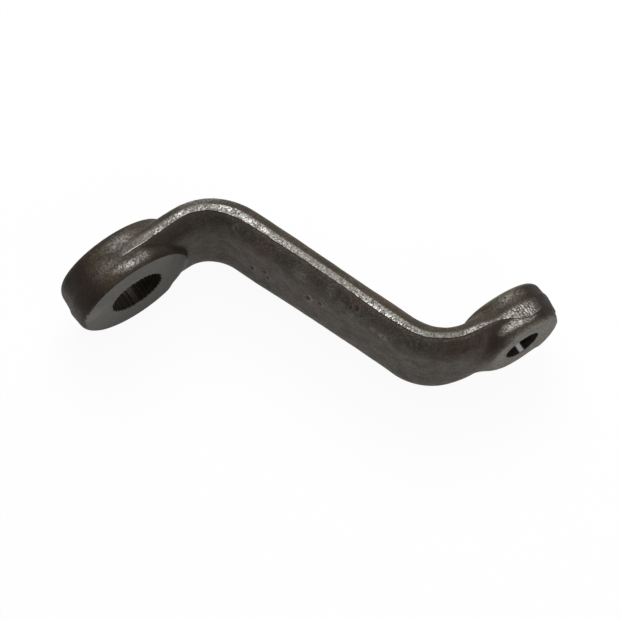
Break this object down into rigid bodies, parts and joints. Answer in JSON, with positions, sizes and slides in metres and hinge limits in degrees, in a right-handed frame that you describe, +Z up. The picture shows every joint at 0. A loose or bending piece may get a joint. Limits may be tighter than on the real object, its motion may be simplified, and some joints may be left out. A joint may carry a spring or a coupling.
{
  "type": "pitman arm",
  "caption": "One-piece forged steering arm: a wide flat bar bent twice into an S between a big eye with a serrated bore and a small eye with a tapered bore.",
  "frame": {"origin": "middle of the serrated bore, on its axis and halfway between the big eye's machined faces", "axes": "+Z up across the width of the bar, the big bore along Y and the small bore 2.5 degrees off it, +Y out of the back of the big eye where the shaft enters, +X from the big eye towards the small eye"},
  "size_m": [0.2095, 0.1637, 0.069],
  "materials": {
    "forged_steel": "as forged with dark scale, trimmed flash and machined eye faces"
  },
  "bodies": {
    "root": {"pitman_arm": "forged_steel"}
  },
  "joints": []
}
